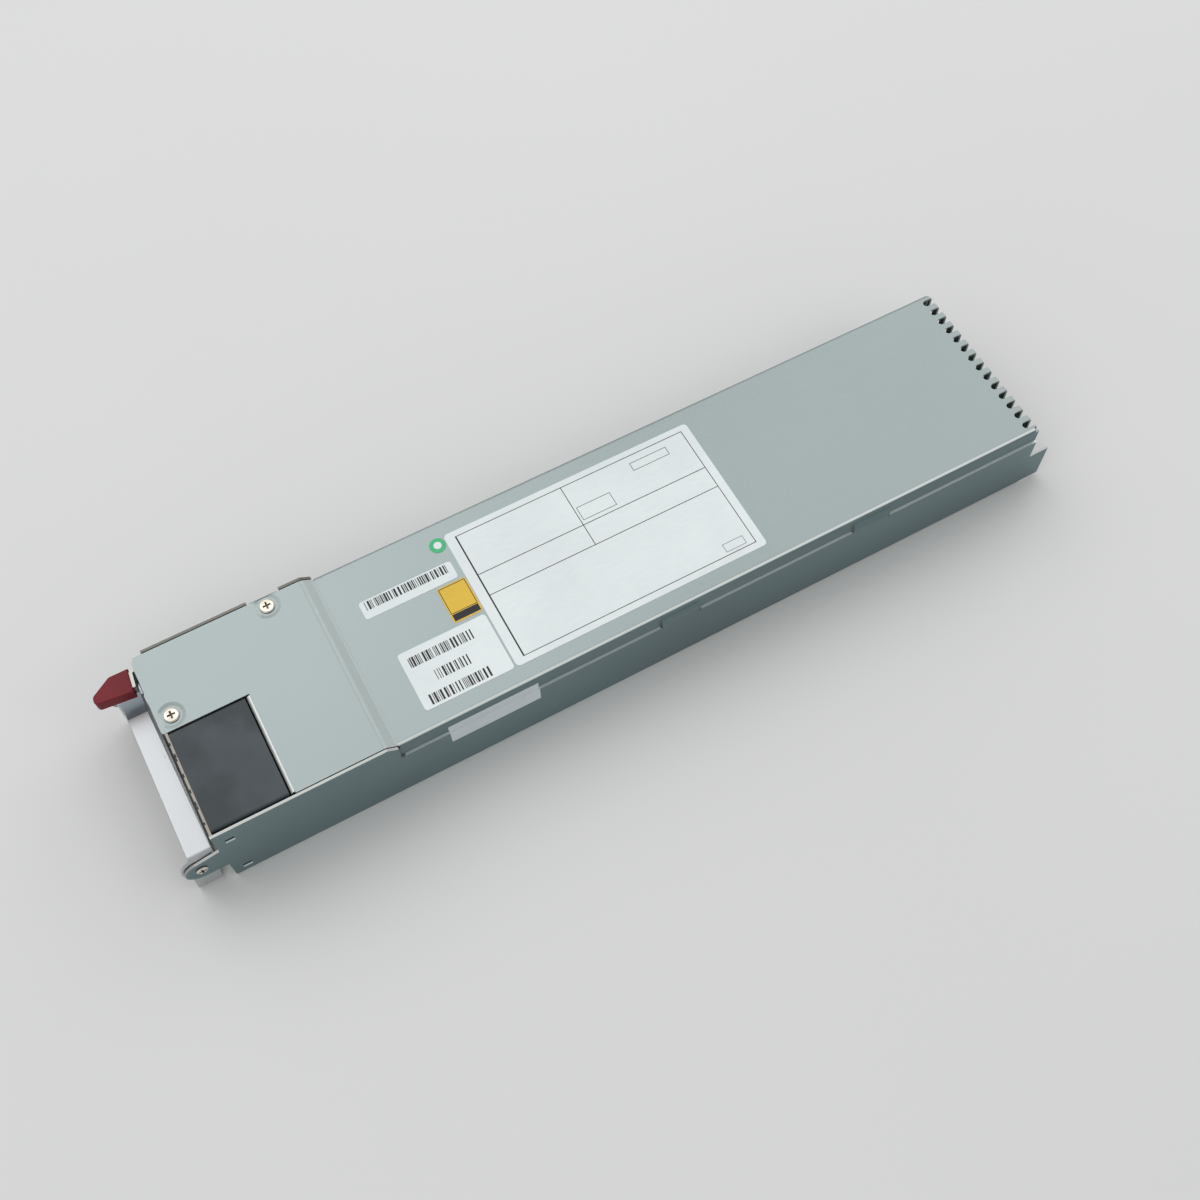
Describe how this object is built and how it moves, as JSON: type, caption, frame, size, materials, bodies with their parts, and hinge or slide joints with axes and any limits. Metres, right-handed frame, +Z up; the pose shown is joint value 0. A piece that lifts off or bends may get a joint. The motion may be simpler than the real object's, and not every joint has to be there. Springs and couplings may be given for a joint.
{
  "type": "hot swap server power supply",
  "caption": "Long slim sheet-metal plug-in power supply with an axial fan and mains inlet in front, a swinging strap handle, a release latch and a card-edge output.",
  "frame": {"origin": "middle of the floor's underside, half way along the side walls and half way across them", "axes": "+Z up; +Y along the case from the handle to the card edge; +X across it, towards the fan's side"},
  "size_m": [0.078, 0.362, 0.0404],
  "materials": {
    "zinc_steel": "satin",
    "lid_steel": "satin",
    "strap_metal": "satin",
    "screw_metal": "satin",
    "spring_steel": "satin",
    "fan_plastic": "matte",
    "grip_plastic": "satin",
    "inlet_plastic": "matte",
    "pin_metal": "polished",
    "contact_gold": "polished",
    "bearing_bronze": "satin",
    "lamp_lens": "glossy",
    "insulator_film": "matte",
    "board_green": "satin",
    "winding_copper": "satin",
    "capacitor_can": "satin",
    "capacitor_box": "satin",
    "fuse_glass": "glossy",
    "relay_case": "satin",
    "device_resin": "matte",
    "sink_aluminium": "satin",
    "core_ferrite": "matte",
    "coil_tape": "satin",
    "bar_copper": "satin",
    "header_plastic": "matte"
  },
  "bodies": {
    "case": {"chassis_base": "zinc_steel", "top_cover": "lid_steel", "cover_screws": "screw_metal", "front_panel": "zinc_steel", "fan_frame": "fan_plastic", "fan_bearing": "bearing_bronze", "fan_stator": "winding_copper", "fan_screws": "screw_metal", "fan_header": "header_plastic", "pivot_screws": "screw_metal", "pivot_nuts": "screw_metal", "release_spring": "spring_steel", "release_rivets": "screw_metal", "ac_inlet": "inlet_plastic", "inlet_pins": "pin_metal", "inlet_board": "board_green", "status_led": "lamp_lens", "insulator_sheet": "insulator_film", "board_standoffs": "screw_metal", "main_board": "board_green", "board_screws": "screw_metal", "edge_contacts": "contact_gold", "line_filter_choke": "winding_copper", "line_capacitors": "capacitor_box", "fuse": "fuse_glass", "relay": "relay_case", "bridge_rectifier": "device_resin", "input_heatsink": "sink_aluminium", "boost_choke": "winding_copper", "bulk_capacitors": "capacitor_can", "power_heatsink": "sink_aluminium", "power_transistors": "device_resin", "transformer_core": "core_ferrite", "transformer_winding": "coil_tape", "standby_transformer": "coil_tape", "rectifier_heatsink": "sink_aluminium", "output_choke": "core_ferrite", "output_capacitors": "capacitor_can", "output_bars": "bar_copper", "control_board": "board_green"},
    "handle": {"handle": "strap_metal"},
    "release": {"release_lever": "spring_steel", "release_grip": "grip_plastic"},
    "rotor": {"fan_rotor": "fan_plastic"}
  },
  "joints": [
    {"name": "handle_swing", "type": "hinge", "parent": "case", "child": "handle", "pos_m": [0, -0.1763, 0.0189], "axis": [1, 0, 0], "range_deg": [-12, 11]},
    {"name": "release_press", "type": "hinge", "parent": "case", "child": "release", "pos_m": [-0.0365, -0.1275, 0.0356], "axis": [0, 0, 1], "range_deg": [0, 4], "stiffness_Nm_per_rad": 1, "springref_deg": -1.15},
    {"name": "fan_spin", "type": "hinge", "parent": "case", "child": "rotor", "pos_m": [0.0161, -0.158, 0.02], "axis": [0, 1, 0], "continuous": true}
  ]
}
